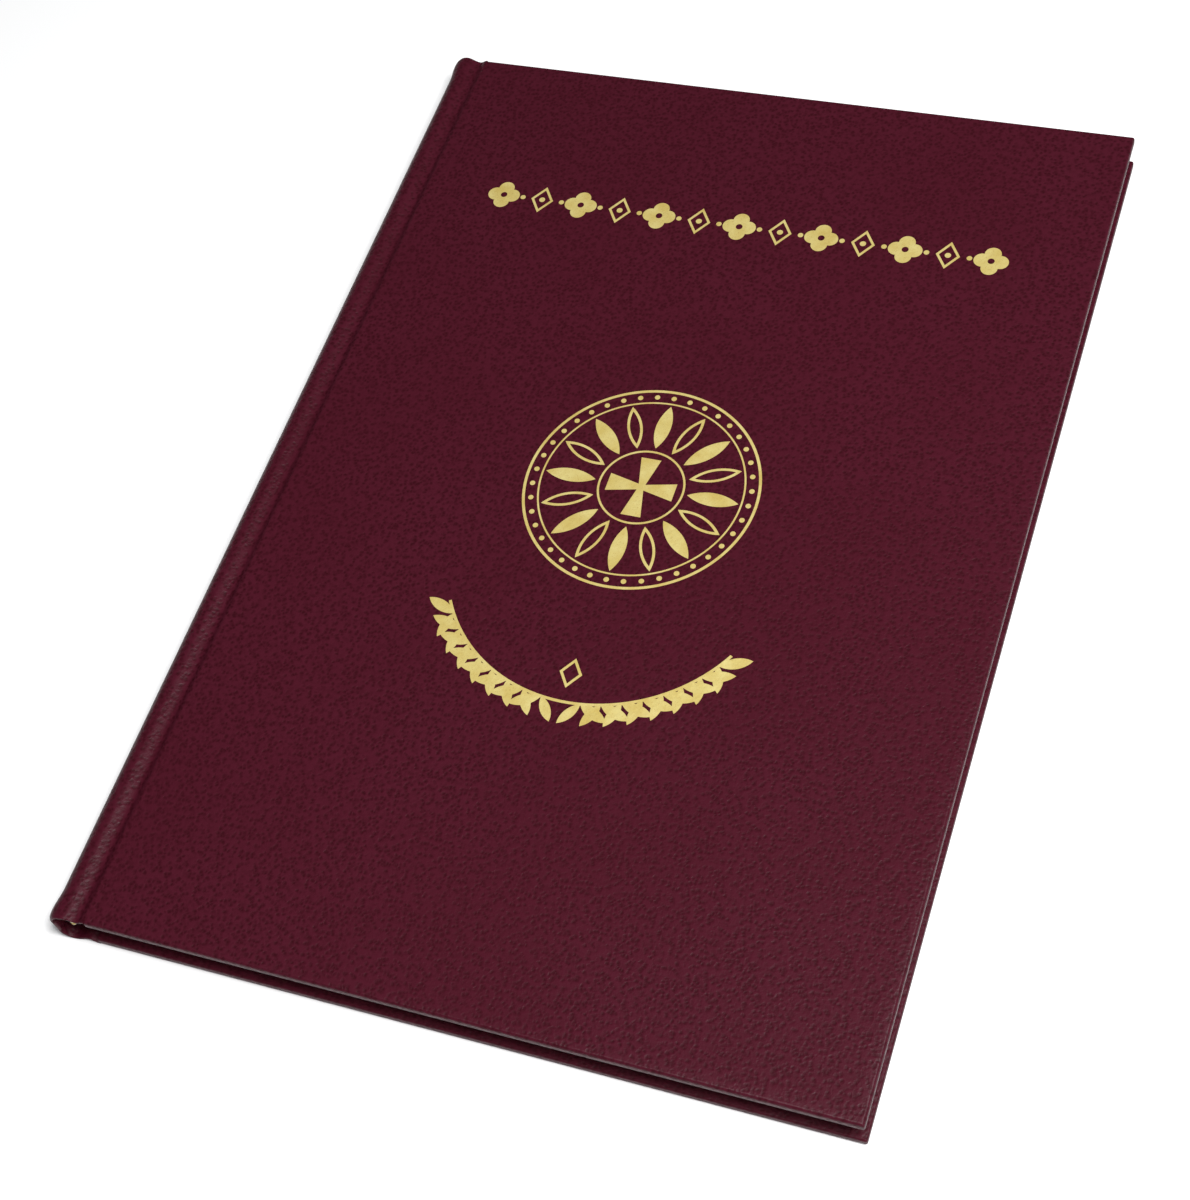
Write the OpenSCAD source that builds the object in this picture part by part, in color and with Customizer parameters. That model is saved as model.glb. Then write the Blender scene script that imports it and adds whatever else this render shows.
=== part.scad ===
// Case-bound prayer book, closed, lying on its back cover.
// X runs from the spine to the fore-edge, Y from the tail to the head, Z up.
// The origin is the middle of the closed book's footprint, on the surface it lies on.

/* [Cover] */
// Height of the cover, tail to head
cover_h = 305; // [220:1:360]
// Width of the closed book, spine to fore-edge
cover_w = 214; // [160:1:260]
// Thickness of each cover board
board_t = 2.3; // [1.8:0.1:3]
// Thickness of the covering material
cloth_t = 0.45; // [0.3:0.05:0.6]
// Thickness of the turned-in covering, pressed into the board
turn_t = 0.3; // [0.2:0.05:0.4]
// How far the covering is turned in over the boards
turn_in = 16; // [12:1:20]
// How far the cover stands out past the leaves
square_w = 3.5; // [2.5:0.5:5]

/* [Leaves] */
// Thickness of one gathering of eight leaves
gathering_t = 0.8; // [0.6:0.05:1.2]
// Thickness of an endpaper leaf
endpaper_t = 0.15; // [0.1:0.05:0.2]
// Play between leaves that move apart
play = 0.03; // [0.02:0.01:0.05]

/* [Spine] */
// Radius of the rounded shoulders of the spine
shoulder_r = 4.5; // [3:0.5:5]
// Width of the groove between shoulder and board
groove_w = 5.5; // [4:0.5:7]
// Depth of the groove
groove_d = 1.0; // [0.5:0.1:1.4]
// Thickness of the card strip inside the spine
inlay_t = 0.6; // [0.4:0.1:0.8]
// Thickness of the woven lining glued to the gatherings
mull_t = 0.2; // [0.15:0.05:0.25]
// Width of the woven lining's flange on each board
flange_w = 25; // [15:1:35]
// Radius of the sewing thread
thread_r = 0.18; // [0.12:0.02:0.2]
// Radius of the bead of the headband
bead_r = 0.8; // [0.6:0.1:1]

/* [Gold foil] */
// Thickness of the stamped foil
foil_t = 0.04; // [0.03:0.01:0.06]
// Length of the row of ornaments near the head
band_w = 156; // [100:2:170]
// Radius of the round medallion
medal_r = 33; // [20:1:40]

/* [Hidden] */
gatherings = 8;
$fn = 48;

burgundy = "#4d1a26";
grey_board = "#9a9489";
paper = "#efe8d6";
woven = "#d9d2bd";
kraft = "#a9845a";
gold = "#d8b75a";

// Depths of a cover, counted inwards from its outer face
board_in = cloth_t;
paste_in = board_in + board_t;
cover_in = paste_in + endpaper_t;

// Heights of the stack of leaves
flyleaf_z = cover_in + 0.05;
pitch = gathering_t + play;
stack_z = flyleaf_z + endpaper_t + play;
front_flyleaf_z = stack_z + gatherings * pitch;
total_t = front_flyleaf_z + endpaper_t + 0.05 + cover_in;

// Places across the book
x_spine = -cover_w / 2;
x_fore = cover_w / 2;
x_block = x_spine + 3;
x_groove = x_spine + shoulder_r + 1;
x_board = x_groove + groove_w;
leaf_w = x_fore - square_w - x_block;
leaf_h = cover_h - 2 * square_w;
paste_edge = 3;

// Spine strip: the stretch of covering that stays straight with the card strip
panel_z = shoulder_r - 1.6;
mull_x = x_block - 2 * thread_r - mull_t;
lining_x = mull_x - mull_t;

// Sewing stations and their spacing along the fold
stations = 6;
station_gap = leaf_h / stations;

// Middle of the foil on the front board
foil_x = 3;
band_y = 99.5;
medal_y = 5;

// Turns a piece of the back cover over, to make the same piece of the front cover
module front() translate([0, 0, total_t]) mirror([0, 0, 1]) children();

// A flat sheet between two X values, two heights, and a length along Y centred on the book
module sheet(x0, x1, z0, z1, length) translate([x0, -length / 2, z0]) cube([x1 - x0, length, z1 - z0]);

// A profile drawn in X and Z, drawn out along the whole length of Y
module along_y(length) {
    translate([0, length / 2, 0]) rotate([90, 0, 0]) linear_extrude(height = length) children();
}

// ---- Covers ----

// The board, with a rebate on three sides for the turned-in covering and one for the flange
module board() {
    edge = x_fore - cloth_t;
    inner = paste_in - turn_t;
    difference() {
        union() {
            sheet(x_board, edge, board_in, inner, cover_h - 2 * cloth_t);
            sheet(x_board, x_fore - turn_in, inner - 0.1, paste_in, cover_h - 2 * turn_in);
        }
        sheet(x_board - 1, x_board + flange_w, paste_in - mull_t, paste_in + 1, cover_h - 2 * turn_in - 10);
    }
}

// The covering of one board: outer face, three wrapped edges and the turn-ins
module cover_skin() {
    difference() {
        sheet(x_board, x_fore, 0, paste_in, cover_h);
        sheet(x_board - 1, x_fore - cloth_t, board_in, paste_in - turn_t, cover_h - 2 * cloth_t);
        sheet(x_board - 1, x_fore - turn_in, board_in, paste_in + 1, cover_h - 2 * turn_in);
    }
}

module flange() {
    sheet(x_board, x_board + flange_w, paste_in - mull_t, paste_in, cover_h - 2 * turn_in - 10);
}

module pastedown() sheet(x_board, x_fore - paste_edge, paste_in, cover_in, cover_h - 2 * paste_edge);

// The endpaper where it crosses from the board to the fold at the first leaf
module endpaper_hinge() sheet(x_block, x_board, paste_in, cover_in, leaf_h);

// ---- Spine ----

function arc(cx, cz, r, a0, a1, n) =
    [for (i = [0:n]) [cx + r * cos(a0 + (a1 - a0) * i / n), cz + r * sin(a0 + (a1 - a0) * i / n)]];

// The groove's curve, from the board's edge to the shoulder, on the underside of the book
function groove(n) =
    [for (i = [0:n]) [x_board - groove_w * i / n, groove_d * (1 - cos(360 * i / n)) / 2]];

// Direction in which an arc runs at angle a, when its angles fall
function heading(a) = [sin(a), -cos(a)];

// Direction in which a path runs at its point i, where first and last are those of its two ends
function run(p, i, first, last) =
    i == 0 ? first : i == len(p) - 1 ? last : (p[i + 1] - p[i - 1]) / norm(p[i + 1] - p[i - 1]);

// Bends a strip of thickness t along a path, on the path's right-hand side
module strip(p, t, first, last) {
    inner = [for (i = [len(p) - 1:-1:0]) let (d = run(p, i, first, last)) p[i] + t * [d[1], -d[0]]];
    polygon(concat(p, inner));
}

// Angle on the shoulder's arc at which the straight spine strip takes over
shoulder_end = 180 + asin((shoulder_r - panel_z) / shoulder_r);

// Joint cloth: groove and shoulder, up to the spine strip
module joint_cloth() {
    shoulder = arc(x_spine + shoulder_r, shoulder_r, shoulder_r, 270, shoulder_end, 8);
    along_y(cover_h) strip(concat(groove(14), shoulder), cloth_t, [-1, 0], heading(shoulder_end));
}

// The covering over the spine strip, between the two joints
module spine_strip() {
    middle = x_spine + shoulder_r;
    lower = arc(middle, shoulder_r, shoulder_r, shoulder_end, 180, 5);
    upper = arc(middle, total_t - shoulder_r, shoulder_r, 180, 360 - shoulder_end, 5);
    along_y(cover_h)
        strip(concat(lower, upper), cloth_t, heading(shoulder_end), heading(360 - shoulder_end));
}

module back_covering() color(burgundy) cover_skin();
module back_board() color(grey_board) board();
module back_mull_flange() color(woven) flange();
module back_pastedown() color(paper) pastedown();
module back_endpaper_hinge() color(paper) endpaper_hinge();
module back_flyleaf() {
    color(paper) sheet(x_block, x_block + leaf_w, flyleaf_z, flyleaf_z + endpaper_t, leaf_h);
}

// One gathering, counted from the front: folded at the spine, so its back edge is round
module gathering(i) {
    r = gathering_t / 2;
    color(paper) translate([x_block, 0, stack_z + (gatherings - i) * pitch]) along_y(leaf_h) {
        translate([r, 0]) square([leaf_w - r, gathering_t]);
        translate([r, r]) circle(r);
    }
}

// Thread over the folds: one pass up the back of the gatherings at each sewing station
module sewing_threads() {
    color("white") for (k = [0:stations - 1])
        translate([x_block - thread_r, (k - (stations - 1) / 2) * station_gap, stack_z])
            cylinder(r = thread_r, h = gatherings * pitch - play);
}

// Woven lining: up the backs of the gatherings and over both endpapers into the joints
module spine_mull() {
    length = cover_h - 2 * turn_in - 10;
    back = paste_in - mull_t;
    color(woven) {
        sheet(mull_x, mull_x + mull_t, back, total_t - back, length);
        sheet(mull_x, x_board, back, paste_in, length);
        sheet(mull_x, x_board, total_t - paste_in, total_t - back, length);
    }
}

module spine_lining() color(kraft) sheet(lining_x, mull_x, flyleaf_z, total_t - flyleaf_z, leaf_h - 24);

// Headband: a beaded edge over the end of the leaves, on a tab behind the lining
module band_end() {
    color("#d9c27a") translate([x_block + bead_r / 2, leaf_h / 2 + bead_r, flyleaf_z])
        cylinder(r = bead_r, h = total_t - 2 * flyleaf_z);
    color("#d9c27a") translate([lining_x, leaf_h / 2 - 11, flyleaf_z])
        cube([mull_t, 11 + 0.9 * bead_r, total_t - 2 * flyleaf_z]);
}
module headband() band_end();
module tailband() mirror([0, 1, 0]) band_end();

module spine_inlay() {
    x = x_spine + cloth_t;
    color(grey_board) sheet(x, x + inlay_t, shoulder_r, total_t - shoulder_r, cover_h - 2 * cloth_t);
}
module spine_covering() color(burgundy) spine_strip();
module back_joint_covering() color(burgundy) joint_cloth();
module front_joint_covering() color(burgundy) front() joint_cloth();

module front_flyleaf() {
    color(paper) sheet(x_block, x_block + leaf_w, front_flyleaf_z, front_flyleaf_z + endpaper_t, leaf_h);
}
module front_endpaper_hinge() color(paper) front() endpaper_hinge();
module front_pastedown() color(paper) front() pastedown();
module front_mull_flange() color(woven) front() flange();
module front_board() color(grey_board) front() board();
module front_covering() color(burgundy) front() cover_skin();

// ---- Gold foil ----

module stamped(x, y) color(gold) translate([x, y, total_t]) linear_extrude(height = foil_t) children();

// A leaf shape with two points, from the origin along +Y
module leaf(length, width) {
    r = (length * length / 4 + width * width / 4) / width;
    intersection() {
        translate([r - width / 2, length / 2]) circle(r);
        translate([width / 2 - r, length / 2]) circle(r);
    }
}

module ring(r, line) {
    difference() {
        circle(r);
        circle(r - line);
    }
}

module quatrefoil(r) {
    difference() {
        for (a = [0:90:270]) rotate(a) translate([0.52 * r, 0]) circle(0.48 * r);
        circle(0.2 * r);
    }
}

module lozenge(h, line) {
    difference() {
        scale([0.7, 1]) rotate(45) square(h / sqrt(2), center = true);
        scale([0.7, 1]) rotate(45) square(h / sqrt(2) - 2 * line, center = true);
    }
}

// Row of ornaments: flowers and lozenges in turn, with a dot between
motifs = 13;
motif_gap = band_w / (motifs - 1 + 0.6);
module foil_band() {
    stamped(foil_x, band_y) for (k = [0:motifs - 1]) translate([(k - (motifs - 1) / 2) * motif_gap, 0]) {
        if (k % 2 == 0) quatrefoil(5);
        else {
            lozenge(10, 0.9);
            circle(0.9);
        }
        if (k < motifs - 1) translate([motif_gap / 2, 0]) circle(0.8);
    }
}

// Cross with arms that widen outwards
module flared_cross(r) {
    arm = [[0, 0], [0.1 * r, 0.1 * r], [0.3 * r, r], [-0.3 * r, r], [-0.1 * r, 0.1 * r]];
    for (a = [0:90:270]) rotate(a) polygon(arm);
}

// A leafy sprig that curves out and up from the foot of the medallion
sprig_r = 46;
module sprig() {
    translate([0, sprig_r]) {
        intersection() {
            ring(sprig_r, 0.8);
            polygon([[0, 0], [0, -2 * sprig_r], [2 * sprig_r * sin(60), -2 * sprig_r * cos(60)]]);
        }
        for (k = [1:8]) rotate(-90 + 6.8 * k) translate([sprig_r - 0.4, 0]) {
            rotate(-32) leaf(9, 3.2);
            rotate(180 + 50) mirror([1, 0]) leaf(8, 2.8);
        }
    }
}

module foil_medallion() {
    petals = 16;
    beads = 40;
    stamped(foil_x, medal_y) {
        ring(medal_r, 0.8);
        ring(medal_r - 4.2, 0.5);
        for (k = [0:beads - 1]) rotate(k * 360 / beads) translate([0, medal_r - 2.5]) circle(0.75);
        for (k = [0:petals - 1]) rotate(k * 360 / petals) translate([0, 0.4 * medal_r]) difference() {
            leaf(0.44 * medal_r, 0.13 * medal_r);
            if (k % 2 == 1) translate([0, 1.6]) leaf(0.44 * medal_r - 3.2, 0.13 * medal_r - 1.5);
        }
        ring(0.37 * medal_r, 0.6);
        flared_cross(0.29 * medal_r);
    }
    stamped(foil_x, medal_y - medal_r - 36) {
        sprig();
        mirror([1, 0]) sprig();
        translate([0, 9]) lozenge(9, 0.9);
    }
}

back_covering();
back_board();
back_mull_flange();
back_pastedown();
back_endpaper_hinge();
back_flyleaf();
gathering(1);  // gathering_1
gathering(2);  // gathering_2
gathering(3);  // gathering_3
gathering(4);  // gathering_4
gathering(5);  // gathering_5
gathering(6);  // gathering_6
gathering(7);  // gathering_7
gathering(8);  // gathering_8
sewing_threads();
spine_mull();
spine_lining();
headband();
tailband();
spine_inlay();
spine_covering();
back_joint_covering();
front_joint_covering();
front_flyleaf();
front_endpaper_hinge();
front_pastedown();
front_mull_flange();
front_board();
front_covering();
foil_band();
foil_medallion();
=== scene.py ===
import math
import random

import bmesh
import bpy
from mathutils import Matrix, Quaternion, Vector


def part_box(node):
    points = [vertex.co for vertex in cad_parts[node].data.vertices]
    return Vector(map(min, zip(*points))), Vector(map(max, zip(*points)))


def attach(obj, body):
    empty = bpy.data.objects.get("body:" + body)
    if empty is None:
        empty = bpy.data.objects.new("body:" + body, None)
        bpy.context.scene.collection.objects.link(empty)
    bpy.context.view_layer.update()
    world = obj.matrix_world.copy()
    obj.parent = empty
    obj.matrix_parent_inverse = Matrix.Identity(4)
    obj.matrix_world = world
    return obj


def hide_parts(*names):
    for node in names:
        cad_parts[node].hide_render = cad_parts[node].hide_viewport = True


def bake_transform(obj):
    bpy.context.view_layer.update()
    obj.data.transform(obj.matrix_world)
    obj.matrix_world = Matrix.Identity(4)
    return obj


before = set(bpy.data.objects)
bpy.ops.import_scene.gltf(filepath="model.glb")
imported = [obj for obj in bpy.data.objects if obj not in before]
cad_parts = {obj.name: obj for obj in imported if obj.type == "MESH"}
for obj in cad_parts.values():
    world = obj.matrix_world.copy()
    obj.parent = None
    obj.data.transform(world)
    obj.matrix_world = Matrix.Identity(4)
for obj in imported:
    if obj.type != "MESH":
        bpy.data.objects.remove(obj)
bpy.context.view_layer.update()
random.seed(7)

MM = 0.001
scene = bpy.context.scene

# ---- Places from the frame, and sizes of the binding ----

BOARD_LO, BOARD_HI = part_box("front_covering")
PANEL_LO, PANEL_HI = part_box("spine_covering")
STACK_LO, STACK_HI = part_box("gathering_8")[0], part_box("gathering_1")[1]

TOP = BOARD_HI.z
HALF_H = BOARD_HI.y
X_FORE = BOARD_HI.x
X_BOARD = BOARD_LO.x
X_SPINE = PANEL_LO.x
X_FOLD = STACK_LO.x
LEAF_END = STACK_HI.x
HALF_LEAF = STACK_HI.y

# A covering's whole depth, from its outer face to the inner face of its turn-ins.
PASTE_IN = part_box("back_covering")[1].z
# Thickness of the covering, thickness of a turned-in flap, and how far it reaches in.
CLOTH = 0.45 * MM
TURNED = 0.3 * MM
TURN_IN = 16 * MM

# Radius of the spine's rounded shoulders, and where they meet the spine strip's seams.
SHOULDER = 4.5 * MM
SHOULDER_X = X_SPINE + SHOULDER
SEAM_Z = PANEL_LO.z
SEAM_ANGLE = math.asin((SHOULDER - SEAM_Z) / SHOULDER)

# Thickness of the card strip inside the spine's covering, and of woven linings and tapes.
INLAY = 0.6 * MM
WEAVE = 0.2 * MM

GATHERINGS = 8


# ---- Materials ----

class Nodes:
    """A material's node tree, with short ways to add and link nodes."""

    def __init__(self, name):
        self.material = bpy.data.materials.new(name)
        self.material.use_nodes = True
        self.tree = self.material.node_tree
        self.shader = self.tree.nodes["Principled BSDF"]
        self.place = self.add("ShaderNodeTexCoord").outputs["Object"]

    def add(self, kind, **settings):
        node = self.tree.nodes.new(kind)
        for key, value in settings.items():
            setattr(node, key, value)
        return node

    def link(self, source, target):
        self.tree.links.new(source, target)

    def scaled(self, stretch=(1, 1, 1)):
        """The place in millimetres, stretched along its axes."""
        node = self.add("ShaderNodeMapping")
        node.inputs["Scale"].default_value = [1000 * s for s in stretch]
        self.link(self.place, node.inputs["Vector"])
        return node.outputs["Vector"]

    def noise(self, size_mm, detail=3.0, rough=0.5, vector=None):
        node = self.add("ShaderNodeTexNoise")
        node.inputs["Scale"].default_value = 1 / size_mm
        node.inputs["Detail"].default_value = detail
        node.inputs["Roughness"].default_value = rough
        self.link(vector or self.scaled(), node.inputs["Vector"])
        return node.outputs["Fac"]

    def span(self, value, low, high, to_low=0.0, to_high=1.0):
        node = self.add("ShaderNodeMapRange")
        ends = {"From Min": low, "From Max": high, "To Min": to_low, "To Max": to_high}
        for key, number in ends.items():
            node.inputs[key].default_value = number
        self.link(value, node.inputs["Value"])
        return node.outputs["Result"]

    def math(self, operation, a, b=0):
        node = self.add("ShaderNodeMath", operation=operation)
        for socket, value in zip(node.inputs, (a, b)):
            if isinstance(value, (int, float)):
                socket.default_value = value
            else:
                self.link(value, socket)
        return node.outputs["Value"]

    def mix(self, amount, first, second):
        node = self.add("ShaderNodeMix", data_type="RGBA")
        if isinstance(amount, (int, float)):
            node.inputs["Factor"].default_value = amount
        else:
            self.link(amount, node.inputs["Factor"])
        for key, value in (("A", first), ("B", second)):
            socket = next(s for s in node.inputs if s.name == key and s.type == "RGBA")
            if isinstance(value, tuple):
                socket.default_value = (*value, 1)
            else:
                self.link(value, socket)
        return next(s for s in node.outputs if s.type == "RGBA")

    def bump(self, height, depth_mm, strength=1.0):
        node = self.add("ShaderNodeBump")
        node.inputs["Distance"].default_value = depth_mm * MM
        node.inputs["Strength"].default_value = strength
        self.link(height, node.inputs["Height"])
        self.link(node.outputs["Normal"], self.shader.inputs["Normal"])

    def finish(self, colour, roughness, **sockets):
        for key, value in (("Base Color", colour), ("Roughness", roughness)):
            socket = self.shader.inputs[key]
            if isinstance(value, tuple):
                socket.default_value = (*value, 1)
            elif isinstance(value, float):
                socket.default_value = value
            else:
                self.link(value, socket)
        for key, value in sockets.items():
            self.shader.inputs[key.replace("_", " ")].default_value = value
        return self.material


def grain(n):
    """Height of the pressed leather grain: 0 in its pits and 1 on the ridges between them."""
    cell_mm = 1.2
    shift = n.add("ShaderNodeTexNoise")
    shift.inputs["Scale"].default_value = 0.8
    warp = n.add("ShaderNodeVectorMath", operation="ADD")
    n.link(n.scaled(), shift.inputs["Vector"])
    n.link(n.scaled(), warp.inputs[0])
    n.link(shift.outputs["Color"], warp.inputs[1])
    cells = n.add("ShaderNodeTexVoronoi", feature="SMOOTH_F1")
    cells.inputs["Scale"].default_value = 1 / cell_mm
    cells.inputs["Smoothness"].default_value = 0.35
    n.link(warp.outputs["Vector"], cells.inputs["Vector"])
    pits = n.span(cells.outputs["Distance"], 0.12, 0.62)
    coarse = n.noise(1.6, 2)
    fine = n.noise(0.3, 3)
    ridges = n.math("MULTIPLY", pits, n.span(coarse, 0.3, 0.7, 0.45, 0.85))
    return n.math("ADD", ridges, n.math("MULTIPLY", fine, 0.3))


def leather():
    n = Nodes("burgundy_leathercloth")
    # Painted shade and light in the grain: the pits are coloured darker and the ridges lighter,
    # following the bump's height, on top of the bump itself.
    pit_painted_shade, ridge_painted_light = (0.027, 0.0005, 0.0036), (0.054, 0.0048, 0.0125)
    patch = (0.040, 0.0022, 0.0070)
    height = grain(n)
    drift = n.noise(38, 2)
    colour = n.mix(n.span(height, 0.15, 0.85), pit_painted_shade, ridge_painted_light)
    colour = n.mix(n.span(drift, 0.35, 0.65, 0, 0.25), colour, patch)
    n.bump(height, 0.13, 0.85)
    roughness = n.span(height, 0.2, 0.9, 0.5, 0.40)
    return n.finish(colour, roughness, Specular_IOR_Level=0.12)


def foil():
    n = Nodes("gold_foil")
    gold, pale_gold = (0.78, 0.60, 0.17), (0.92, 0.78, 0.30)
    rubbed = (0.38, 0.22, 0.05)
    height = grain(n)
    speck = n.noise(0.32, 4, 0.7)
    worn = n.span(speck, 0.52, 0.66)
    bright = n.mix(n.span(n.noise(5, 3), 0.3, 0.7), gold, pale_gold)
    colour = n.mix(n.math("MULTIPLY", worn, 0.55), bright, rubbed)
    n.bump(height, 0.05, 0.6)
    roughness = n.span(speck, 0.3, 0.7, 0.26, 0.5)
    return n.finish(colour, roughness, Metallic=0.55, Specular_IOR_Level=0.6)


def paper(name, colour, ruled=False):
    n = Nodes(name)
    clouded, flecked = (tuple(share * c for c in colour) for share in (0.95, 0.7))
    red_ink = (0.20, 0.035, 0.04)
    fibre = n.noise(0.7, 5, 0.6)
    cloud = n.noise(30, 2)
    tone = n.mix(n.span(cloud, 0.3, 0.7), colour, clouded)
    tone = n.mix(n.span(fibre, 0.3, 0.75, 0, 0.12), tone, flecked)
    if ruled:
        tone = n.mix(rules(n), tone, red_ink)
    n.bump(fibre, 0.02, 0.6)
    return n.finish(tone, 0.78, Specular_IOR_Level=0.25)


def rules(n):
    """Ink on a ruled page: rows of thin lines inside a border, 0 elsewhere."""
    half_w, half_h = 78 * MM, 121.5 * MM
    row_pitch, row_line = 9 * MM, 0.09 * MM
    border_gap, border_line = 4 * MM, 0.2 * MM
    ink = 0.55
    split = n.add("ShaderNodeSeparateXYZ")
    n.link(n.place, split.inputs["Vector"])
    x, y = split.outputs["X"], split.outputs["Y"]
    middle = (X_FOLD + LEAF_END) / 2
    across = n.math("ABSOLUTE", n.math("SUBTRACT", x, middle))
    up = n.math("ABSOLUTE", y)
    within_w = n.math("LESS_THAN", across, half_w)
    within_h = n.math("LESS_THAN", up, half_h)
    inside = n.math("MULTIPLY", within_w, within_h)
    row = n.math("PINGPONG", y, row_pitch / 2)
    lines = n.math("LESS_THAN", row, row_line)
    past_w = n.math("SUBTRACT", across, half_w)
    past_h = n.math("SUBTRACT", up, half_h)
    outside = n.math("MAXIMUM", past_w, past_h)
    near = n.math("ABSOLUTE", n.math("SUBTRACT", outside, border_gap))
    border = n.math("LESS_THAN", near, border_line)
    drawn = n.math("MAXIMUM", n.math("MULTIPLY", lines, inside), border)
    return n.math("MULTIPLY", drawn, ink)


def board():
    n = Nodes("greyboard")
    dark, light = (0.22, 0.20, 0.17), (0.34, 0.32, 0.28)
    pulp = n.noise(0.9, 5, 0.65)
    colour = n.mix(n.span(pulp, 0.3, 0.7), dark, light)
    n.bump(pulp, 0.08)
    return n.finish(colour, 0.9, Specular_IOR_Level=0.2)


def woven(name, colour, pitch_mm):
    """Plain open weave, with its threads along Y and Z."""
    n = Nodes(name)
    split = n.add("ShaderNodeSeparateXYZ")
    n.link(n.scaled(), split.inputs["Vector"])
    waves = []
    for axis in ("X", "Y", "Z"):
        turned = n.math("MULTIPLY", split.outputs[axis], 2 * math.pi / pitch_mm)
        waves.append(n.math("SINE", turned))
    height = n.math("MULTIPLY", waves[1], n.math("ADD", waves[0], waves[2]))
    dark = tuple(0.55 * c for c in colour)
    tone = n.mix(n.span(height, -1, 1), dark, colour)
    n.bump(height, 0.06)
    return n.finish(tone, 0.85, Specular_IOR_Level=0.2)


def kraft():
    n = Nodes("kraft_paper")
    dark, light = (0.30, 0.18, 0.09), (0.40, 0.26, 0.14)
    fibre = n.noise(1.2, 5, 0.6, n.scaled((1, 0.3, 1)))
    colour = n.mix(n.span(fibre, 0.3, 0.7), dark, light)
    n.bump(fibre, 0.03)
    return n.finish(colour, 0.85, Specular_IOR_Level=0.2)


def band_silk():
    """Silk of the headbands, wound in stripes across the book's thickness."""
    n = Nodes("headband_silk")
    stripe_mm = 0.7
    gold, cream, shade = (0.62, 0.45, 0.12), (0.80, 0.72, 0.48), (0.30, 0.20, 0.05)
    split = n.add("ShaderNodeSeparateXYZ")
    n.link(n.scaled(), split.inputs["Vector"])
    stripe = n.math("PINGPONG", split.outputs["Z"], stripe_mm)
    colour = n.mix(n.span(stripe, 0.32, 0.38), gold, cream)
    strand = n.noise(0.12, 3, 0.6)
    colour = n.mix(n.span(strand, 0.3, 0.7, 0, 0.3), colour, shade)
    n.bump(strand, 0.03)
    return n.finish(colour, 0.55, Specular_IOR_Level=0.4)


def thread():
    n = Nodes("linen_thread")
    dark, light = (0.58, 0.54, 0.45), (0.78, 0.75, 0.68)
    ply = n.noise(0.1, 3, 0.6)
    colour = n.mix(n.span(ply, 0.3, 0.7), dark, light)
    n.bump(ply, 0.03)
    return n.finish(colour, 0.7)


LEATHER = leather()
FOIL = foil()
PAGE = paper("ruled_page", (0.50, 0.46, 0.375), ruled=True)
EDGE = paper("page_edge", (0.48, 0.435, 0.345))
ENDPAPER = paper("endpaper", (0.48, 0.44, 0.36))
BOARD = board()
MULL = woven("woven_lining", (0.62, 0.58, 0.46), pitch_mm=0.8)
KRAFT = kraft()
SILK = band_silk()
THREAD = thread()


# ---- Mesh helpers ----

def piece(name, points, faces, material, smooth_angle=40):
    """A mesh piece with its outward faces worked out."""
    same_place, no_length = 1e-7, 1e-8
    mesh = bpy.data.meshes.new(name)
    mesh.from_pydata([tuple(p) for p in points], [], faces)
    bm = bmesh.new()
    bm.from_mesh(mesh)
    bmesh.ops.remove_doubles(bm, verts=bm.verts, dist=same_place)
    bmesh.ops.dissolve_degenerate(bm, edges=bm.edges, dist=no_length)
    bmesh.ops.recalc_face_normals(bm, faces=bm.faces)
    bm.to_mesh(mesh)
    bm.free()
    mesh.polygons.foreach_set("use_smooth", [True] * len(mesh.polygons))
    mesh.set_sharp_from_angle(angle=math.radians(smooth_angle))
    mesh.materials.append(material)
    obj = bpy.data.objects.new(name, mesh)
    scene.collection.objects.link(obj)
    return obj


def band_faces(count, base=0):
    """Faces between a ring of count points that starts at base and the ring after it."""
    faces = []
    for i in range(base, base + count):
        j = base + (i - base + 1) % count
        faces.append((i, j, count + j, count + i))
    return faces


def tube_faces(rings, count, base=0):
    """Faces of a closed solid through rings of count points, with flat ends."""
    faces = []
    for r in range(rings - 1):
        faces += band_faces(count, base + r * count)
    last = base + (rings - 1) * count
    faces.append(tuple(range(base, base + count))[::-1])
    faces.append(tuple(range(last, last + count)))
    return faces


def strip_faces(count, base=0):
    """Faces of a bent strip between two rings of count points, its ends closed by quads."""
    faces = band_faces(count, base)
    for end in (base, base + count):
        for i in range(count // 2 - 1):
            faces.append((end + i, end + i + 1, end + count - 2 - i, end + count - 1 - i))
    return faces


def loft(name, rings, material, smooth_angle=40):
    """A closed solid through rings of equal length, with flat ends."""
    points = [p for ring in rings for p in ring]
    faces = tube_faces(len(rings), len(rings[0]))
    return piece(name, points, faces, material, smooth_angle)


def smoothstep(t):
    t = min(1.0, max(0.0, t))
    return t * t * (3 - 2 * t)


# ---- Coverings of the two boards ----

# Radius of a covering's corners, and of its edge on the inner side.
CORNER = 0.6 * MM
CORNER_STEPS = 6
INNER_EDGE = 0.6 * MM


def rim_line(inset):
    """Points (x, y) along a board's three wrapped edges at an inset: head, fore-edge and tail."""
    radius = max(CORNER - inset, 0)
    x, y = X_FORE - inset - radius, HALF_H - inset - radius
    line = [(X_BOARD, HALF_H - inset)]
    for sign in (1, -1):
        angles = [math.pi / 2 * i / CORNER_STEPS for i in range(CORNER_STEPS + 1)]
        if sign == 1:
            angles = angles[::-1]
        line += [(x + radius * math.cos(a), sign * (y + radius * math.sin(a))) for a in angles]
    return line + [(X_BOARD, -(HALF_H - inset))]


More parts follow.
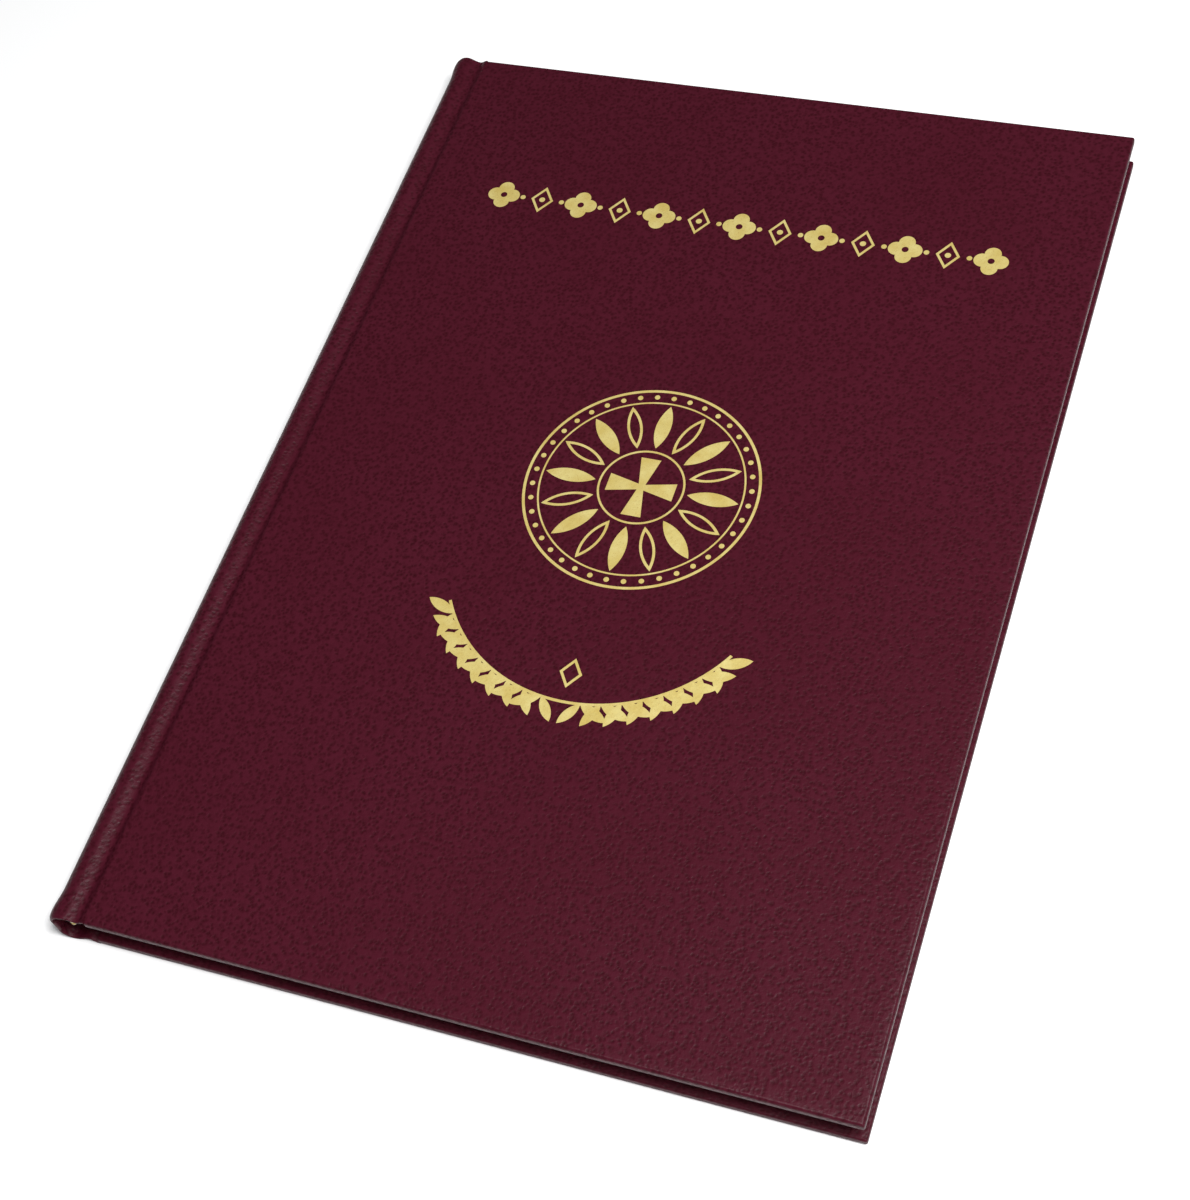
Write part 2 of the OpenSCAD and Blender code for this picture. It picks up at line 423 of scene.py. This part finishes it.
def rim_profile():
    """Inset and depth round a covering's edge, from the outer face round to its hidden side."""
    outer = 0.95 * MM
    flat_from = 4 * MM
    steps = 7
    arc = [math.pi / 2 * i / steps for i in range(steps + 1)]
    flap = PASTE_IN - TURNED
    profile = [(TURN_IN, 0.0), (flat_from, 0.0)]
    profile += [(outer * (1 - math.sin(a)), outer * (1 - math.cos(a))) for a in arc]
    profile += [(INNER_EDGE * (1 - math.cos(a)), PASTE_IN - INNER_EDGE * (1 - math.sin(a)))
                for a in arc]
    profile += [(TURN_IN, PASTE_IN), (TURN_IN, flap), (CLOTH, flap)]
    return profile + [(CLOTH, CLOTH), (TURN_IN, CLOTH)]


def board_covering(name, outside, inwards, body, node):
    """Covering of a board, turned in over three edges, its fore-edge flap over the other two."""
    overlap = 0.1 * MM
    mitre = 1 + CORNER_STEPS // 2
    profile = rim_profile()
    rows, columns = len(profile), len(rim_line(0))
    points, faces = [], []
    for inset, depth in profile:
        flap = inset > INNER_EDGE and depth == PASTE_IN
        for i, (x, y) in enumerate(rim_line(inset)):
            raised = overlap if flap and mitre <= i < columns - mitre else 0
            points.append((x, y, outside + inwards * (depth + raised)))
    for r in range(rows - 1):
        for i in range(columns - 1):
            a = r * columns + i
            faces.append((a, a + 1, a + columns + 1, a + columns))
    last = (rows - 1) * columns
    ends = (0, 1, columns - 2, columns - 1)
    faces.append(ends)
    faces.append(tuple(last + i for i in ends)[::-1])
    faces.append(tuple(r * columns for r in range(rows)))
    faces.append(tuple(r * columns + columns - 1 for r in range(rows)))
    faces.append((0, last, last + columns - 1, columns - 1))
    obj = piece(name, points, faces, LEATHER, smooth_angle=50)
    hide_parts(node)
    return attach(obj, body)


board_covering("front_board_leather", TOP, -1, "front_cover", "front_covering")
board_covering("back_board_leather", 0, 1, "back_cover", "back_covering")


# ---- Covering over the joints and the spine ----

GROOVE_X = X_SPINE + 8.4 * MM
GROOVE_DEPTH = 1.1 * MM


def groove_depth(x):
    """Depth of the groove below the cover's face: steep at the board, gentle at the shoulder."""
    if x > GROOVE_X:
        return GROOVE_DEPTH * smoothstep((X_BOARD - x) / (X_BOARD - GROOVE_X))
    return GROOVE_DEPTH * smoothstep((x - SHOULDER_X) / (GROOVE_X - SHOULDER_X))


def lower_joint():
    """Points (x, z) of the outer face from the back board to the seam with the spine strip."""
    steps, arc_steps = 26, 10
    width = X_BOARD - SHOULDER_X
    flat = [X_BOARD - width * i / steps for i in range(steps + 1)]
    line = [(x, groove_depth(x)) for x in flat]
    turn = math.pi / 2 - SEAM_ANGLE
    arc = [turn * i / arc_steps for i in range(1, arc_steps + 1)]
    line += [(SHOULDER_X - SHOULDER * math.sin(a), SHOULDER * (1 - math.cos(a))) for a in arc]
    return line


def spine_line():
    """Points of the outer face over the spine strip, from the lower seam to the upper one."""
    steps = 6
    lower = [SEAM_ANGLE * (1 - i / steps) for i in range(steps + 1)]
    line = [(SHOULDER_X - SHOULDER * math.cos(a), SHOULDER * (1 - math.sin(a))) for a in lower]
    return line + [(x, TOP - z) for x, z in reversed(line)]


def normals(line, first, last):
    """Inward unit normals along a line of the outer face, with those of its ends given."""
    found = [first]
    for before, after in zip(line, line[2:]):
        dx, dz = after[0] - before[0], after[1] - before[1]
        length = math.hypot(dx, dz)
        found.append((dz / length, -dx / length))
    return found + [last]


def overhang(x):
    """How far the covering's folded end stands past the boards: most at the spine."""
    most, full_within = 0.55 * MM, 1 * MM
    return most * smoothstep((GROOVE_X - x) / (GROOVE_X - X_SPINE - full_within))


def end_bulge(x, inset):
    """Inward offset, below 0, that swells the covering over the headband at the spine's end."""
    most = -0.55 * MM
    rise, fade_end, fade = 1.5 * MM, 9 * MM, 6 * MM
    near_end = smoothstep(inset / rise) * smoothstep((fade_end - inset) / fade)
    near_spine = smoothstep((SHOULDER_X - x) / SHOULDER)
    return most * near_end * near_spine


def hem(fold):
    """Inset and depth of a turned-in end: along the outer face, round and back inside."""
    steps = 6
    radius = 0.48 * fold
    angles = [math.pi / 2 / steps * i for i in range(steps + 1)]
    along = [d * MM for d in (12, 9, 7.5, 6, 4.5, 3, 2, 1)]
    outer = [(d, 0) for d in along]
    outer += [(radius * (1 - math.sin(a)), radius * (1 - math.cos(a))) for a in angles]
    inner = [(radius * (1 - math.cos(a)), fold - radius * (1 - math.sin(a))) for a in angles]
    inner += [(d, fold) for d in reversed(along)]
    return outer + inner + [(TURN_IN, fold), (TURN_IN + TURNED, CLOTH)]


def cloth_strip(name, line, inward_normals, folds):
    """Covering over a length of the spine's outline, turned in at head and tail."""
    rings = []
    for (x, z), (nx, nz), fold in zip(line, inward_normals, folds):
        half = []
        for inset, depth in hem(fold):
            inward = depth + end_bulge(x, inset) * (1 - depth / fold)
            half.append((x + nx * inward, HALF_H + overhang(x) - inset, z + nz * inward))
        rings.append(half + [(px, -py, pz) for px, py, pz in reversed(half)])
    return loft(name, rings, LEATHER, smooth_angle=50)


SEAM_NORMAL = (math.cos(SEAM_ANGLE), math.sin(SEAM_ANGLE))
LOWER = lower_joint()
LOWER_NORMALS = normals(LOWER, (0, 1), SEAM_NORMAL)
UPPER = [(x, TOP - z) for x, z in LOWER]
UPPER_NORMALS = [(nx, -nz) for nx, nz in LOWER_NORMALS]
SPINE = spine_line()
SPINE_NORMALS = normals(SPINE, SEAM_NORMAL, (SEAM_NORMAL[0], -SEAM_NORMAL[1]))

JOINT_FOLD = CLOTH + TURNED
joint_folds = [JOINT_FOLD] * len(LOWER)
back_joint = cloth_strip("back_joint_leather", LOWER, LOWER_NORMALS, joint_folds)
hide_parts("back_joint_covering")
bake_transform(back_joint)

front_joint = cloth_strip("front_joint_leather", UPPER, UPPER_NORMALS, joint_folds)
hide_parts("front_joint_covering")
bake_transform(front_joint)

middle = (SEAM_Z + PANEL_HI.z) / 2
half = middle - SEAM_Z
over_inlay = [smoothstep((half - abs(z - middle)) / (SHOULDER - SEAM_Z)) for x, z in SPINE]
spine_folds = [JOINT_FOLD + INLAY * share for share in over_inlay]
spine = cloth_strip("spine_leather", SPINE, SPINE_NORMALS, spine_folds)
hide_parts("spine_covering")
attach(spine, "spine")


# ---- Leaves ----

def folded_sheet(middle_z, radius, thickness, y0, y1, upper_end, lower_end):
    """Two rings of one sheet folded in two round the gathering's middle."""
    steps = 8
    fold_x = X_FOLD + 0.4 * MM

    def outline(r):
        line = [(upper_end, middle_z + r)]
        for i in range(steps + 1):
            a = math.pi / 2 + math.pi * i / steps
            line.append((fold_x + r * math.cos(a), middle_z + r * math.sin(a)))
        return line + [(lower_end, middle_z - r)]

    ring = outline(radius + thickness / 2) + outline(radius - thickness / 2)[::-1]
    return [[(x, y, z) for x, z in ring] for y in (y0, y1)]


def gathering(number, body):
    """Eight leaves: four sheets, each folded in two, one inside the next."""
    sheets = 4
    paper_share = 0.86
    uneven_fore, uneven_end = 0.22, 0.14
    page_area, page_level = 1e-3, 0.9
    lo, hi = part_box(f"gathering_{number}")
    middle = (lo.z + hi.z) / 2
    leaf = (hi.z - lo.z) / (2 * sheets)
    points, faces = [], []
    for k in range(sheets):
        upper, lower = (random.uniform(0, uneven_fore) * MM for _ in range(2))
        head, tail = (random.uniform(0, uneven_end) * MM for _ in range(2))
        rings = folded_sheet(middle, leaf * (k + 0.5), leaf * paper_share, lo.y + tail,
                             hi.y - head, hi.x - upper, hi.x - lower)
        faces += strip_faces(len(rings[0]), len(points))
        points += rings[0] + rings[1]
    obj = piece(f"leaves_{number}", points, faces, EDGE, smooth_angle=30)
    obj.data.materials.append(PAGE)
    for face in obj.data.polygons:
        if abs(face.normal.z) > page_level and face.area > page_area:
            face.material_index = 1
    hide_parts(f"gathering_{number}")
    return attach(obj, body)


LEAF_BODIES = {1: "front_half", GATHERINGS: "back_cover"}
for number in range(1, GATHERINGS + 1):
    gathering(number, LEAF_BODIES.get(number, f"gathering_{number}"))


def flyleaf(name, node):
    """A free endpaper leaf with slightly rounded corners, divided finely near its fold."""
    lo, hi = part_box(node)
    corner, corner_steps = 1.2 * MM, 6
    fine, coarse = 40, 12
    near_fold = [lo.x + i * MM for i in range(fine)]
    rest = hi.x - corner - near_fold[-1]
    across = [near_fold[-1] + rest * i / coarse for i in range(1, coarse + 1)]
    outline = [(x, hi.y) for x in near_fold + across]
    for i in range(1, corner_steps + 1):
        a = math.radians(90 / corner_steps * i)
        outline.append((hi.x - corner * (1 - math.sin(a)), hi.y - corner * (1 - math.cos(a))))
    rings = [[(x, -y, lo.z), (x, y, lo.z), (x, y, hi.z), (x, -y, hi.z)] for x, y in outline]
    obj = loft(name, rings, ENDPAPER)
    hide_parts(node)
    return obj


front_leaf = flyleaf("front_flyleaf_sheet", "front_flyleaf")
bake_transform(front_leaf)
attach(flyleaf("back_flyleaf_sheet", "back_flyleaf"), "back_cover")


# ---- Endpaper, linings, thread and headbands ----

def bending_sheet(name, node, material, axis, divisions):
    """A sheet the size of its node, divided along one axis so that it can bend."""
    lo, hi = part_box(node)
    rings = []
    for i in range(divisions + 1):
        t = i / divisions
        if axis == "x":
            x = lo.x + (hi.x - lo.x) * t
            rings.append([(x, lo.y, lo.z), (x, hi.y, lo.z), (x, hi.y, hi.z), (x, lo.y, hi.z)])
        else:
            z = lo.z + (hi.z - lo.z) * t
            rings.append([(lo.x, lo.y, z), (hi.x, lo.y, z), (hi.x, hi.y, z), (lo.x, hi.y, z)])
    obj = loft(name, rings, material)
    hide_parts(node)
    return obj


def bend_at_middle(obj):
    """Bakes the transform of a piece between the two halves of the leaves into its mesh; nothing
    bends it.
    """
    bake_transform(obj)


def bend_at_cover(obj):
    """Bakes the transform of a piece between the front half of the leaves and the cover into its
    mesh; nothing bends it.
    """
    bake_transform(obj)


hinge = bending_sheet("front_endpaper_bend", "front_endpaper_hinge", ENDPAPER, "x",
                      divisions=80)
bend_at_cover(hinge)
lining = bending_sheet("spine_lining_paper", "spine_lining", KRAFT, "z", divisions=84)
bend_at_middle(lining)


def mull_wrap():
    """Woven lining: the backs of the gatherings with the back joint's flap, and the front flap."""
    lo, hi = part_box("spine_mull")
    steps = 96
    backs = [lo.z + (hi.z - lo.z) * i / steps for i in range(steps + 1)]
    outer = [(hi.x, lo.z)] + [(lo.x, z) for z in backs]
    inner = [(hi.x, lo.z + WEAVE)] + [(lo.x + WEAVE, max(z, lo.z + WEAVE)) for z in backs]
    ring = outer + inner[::-1]
    points = [(x, y, z) for y in (lo.y, hi.y) for x, z in ring]
    wrap = piece("spine_mull_cloth", points, strip_faces(len(ring)), MULL)
    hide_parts("spine_mull")
    bend_at_middle(wrap)

    divisions = 80
    start, under = lo.x + WEAVE, hi.z - WEAVE
    rings = []
    for i in range(divisions + 1):
        x = start + (hi.x - start) * i / divisions
        rings.append([(x, lo.y, under), (x, hi.y, under), (x, hi.y, hi.z), (x, lo.y, hi.z)])
    flap = loft("front_mull_flap", rings, MULL)
    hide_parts("spine_mull")
    bend_at_cover(flap)


mull_wrap()


def sewing():
    """Thread over the folds at each sewing station, swaying a little from fold to fold."""
    lo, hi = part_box("sewing_threads")
    stations, sides, steps = 6, 8, 96
    radius = (hi.x - lo.x) / 2
    sway, bulge = 0.12 * MM, 0.85
    gap = 2 * HALF_LEAF / stations
    pitch = (hi.z - lo.z) / GATHERINGS
    points, faces = [], []
    for k in range(stations):
        middle_y = (k - (stations - 1) / 2) * gap
        faces += tube_faces(steps + 1, sides, len(points))
        for s in range(steps + 1):
            z = lo.z + (hi.z - lo.z) * s / steps
            y = middle_y + sway * math.sin(math.pi * (z - lo.z) / pitch)
            for i in range(sides):
                a = 2 * math.pi * i / sides
                x = lo.x + radius * (1 + bulge * math.cos(a))
                points.append((x, y + radius * math.sin(a), z))
    obj = piece("sewing_thread_stitches", points, faces, THREAD, smooth_angle=60)
    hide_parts("sewing_threads")
    bend_at_middle(obj)


sewing()


def band(name, node, side):
    """Headband: silk wound round a core along the leaves' edge, on a tape behind them."""
    lo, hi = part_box(node)
    bead = 0.8 * MM
    centre_x = X_FOLD + bead / 2
    centre_y = side * (HALF_LEAF + bead)
    turns, steps_per_turn, sides = 22, 6, 14
    wound = 0.07
    end_margin, end_power, end_floor = 0.06, 12, 0.05
    steps = turns * steps_per_turn
    rings = []
    for s in range(steps + 1):
        t = s / steps
        z = lo.z + (hi.z - lo.z) * t
        swell = 1 - wound + wound * abs(math.sin(math.pi * turns * t))
        near_end = max(0, abs(2 * t - 1) * (1 + end_margin) - end_margin)
        r = bead * swell * math.sqrt(max(end_floor, 1 - near_end ** end_power))
        angles = [2 * math.pi * i / sides for i in range(sides)]
        rings.append([(centre_x + r * math.cos(a), centre_y + r * math.sin(a), z) for a in angles])
    core = loft(name + "_core", rings, SILK, smooth_angle=60)
    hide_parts(node)
    bend_at_middle(core)

    divisions = 84
    y0, y1 = (lo.y, hi.y - bead) if side > 0 else (lo.y + bead, hi.y)
    x0, x1 = lo.x, lo.x + WEAVE
    rings = []
    for i in range(divisions + 1):
        z = lo.z + (hi.z - lo.z) * i / divisions
        rings.append([(x0, y0, z), (x1, y0, z), (x1, y1, z), (x0, y1, z)])
    tape = loft(name + "_tape", rings, MULL)
    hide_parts(node)
    bend_at_middle(tape)


band("headband_silk", "headband", 1)
band("tailband_silk", "tailband", -1)


# ---- Materials of the frame's own pieces ----

FINISHES = {
    "back_board": BOARD, "front_board": BOARD, "spine_inlay": BOARD, "back_mull_flange": MULL,
    "front_mull_flange": MULL, "back_pastedown": ENDPAPER, "front_pastedown": ENDPAPER,
    "back_endpaper_hinge": ENDPAPER, "foil_band": FOIL, "foil_medallion": FOIL,
}
for node, material in FINISHES.items():
    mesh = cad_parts[node].data
    mesh.materials.clear()
    mesh.materials.append(material)


# ---- Floor, light and camera ----

def floor():
    n = Nodes("pale_floor")
    tone = n.mix(n.noise(140, 2), (0.90, 0.90, 0.90), (0.94, 0.94, 0.94))
    material = n.finish(tone, 0.9, Specular_IOR_Level=0.1)
    half, level = 4, -0.05 * MM
    corners = [(-half, -half), (half, -half), (half, half), (-half, half)]
    mesh = bpy.data.meshes.new("floor")
    mesh.from_pydata([(x, y, level) for x, y in corners], [], [(0, 1, 2, 3)])
    mesh.materials.append(material)
    obj = bpy.data.objects.new("floor", mesh)
    scene.collection.objects.link(obj)


def softbox(name, place, aim, size, watts):
    light = bpy.data.lights.new(name, "AREA")
    light.shape = "RECTANGLE"
    light.size, light.size_y = size
    light.energy = watts
    obj = bpy.data.objects.new(name, light)
    obj.location = place
    obj.rotation_mode = "QUATERNION"
    obj.rotation_quaternion = (Vector(aim) - Vector(place)).to_track_quat("-Z", "Y")
    scene.collection.objects.link(obj)


def camera():
    """Looks at a point on the cover from an azimuth and an elevation, then rolls to the right."""
    aim = Vector((2.1, -32.3, 12.9)) * MM
    distance = 590 * MM
    azimuth, elevation, roll = (math.radians(a) for a in (33.07, 56.13, 17.4))
    flat = math.cos(elevation)
    back = Vector((math.sin(azimuth) * flat, -math.cos(azimuth) * flat, math.sin(elevation)))
    data = bpy.data.cameras.new("camera")
    data.lens = 67
    data.sensor_width = 36
    data.clip_start = 0.01
    obj = bpy.data.objects.new("camera", data)
    obj.location = aim + back * distance
    obj.rotation_mode = "QUATERNION"
    turn = Quaternion((0, 0, 1), -roll)
    obj.rotation_quaternion = (-back).to_track_quat("-Z", "Y") @ turn
    scene.collection.objects.link(obj)
    scene.camera = obj


def studio():
    sky, sky_strength = (0.95, 0.97, 1, 1), 0.18
    world = bpy.data.worlds.new("studio")
    scene.world = world
    world.use_nodes = True
    background = world.node_tree.nodes["Background"]
    background.inputs["Color"].default_value = sky
    background.inputs["Strength"].default_value = sky_strength
    softbox("key", place=(0.45, -0.2, 1.0), aim=(0, 0, 0), size=(0.5, 0.5), watts=20)
    scene.view_settings.view_transform = "Standard"


floor()
camera()
studio()
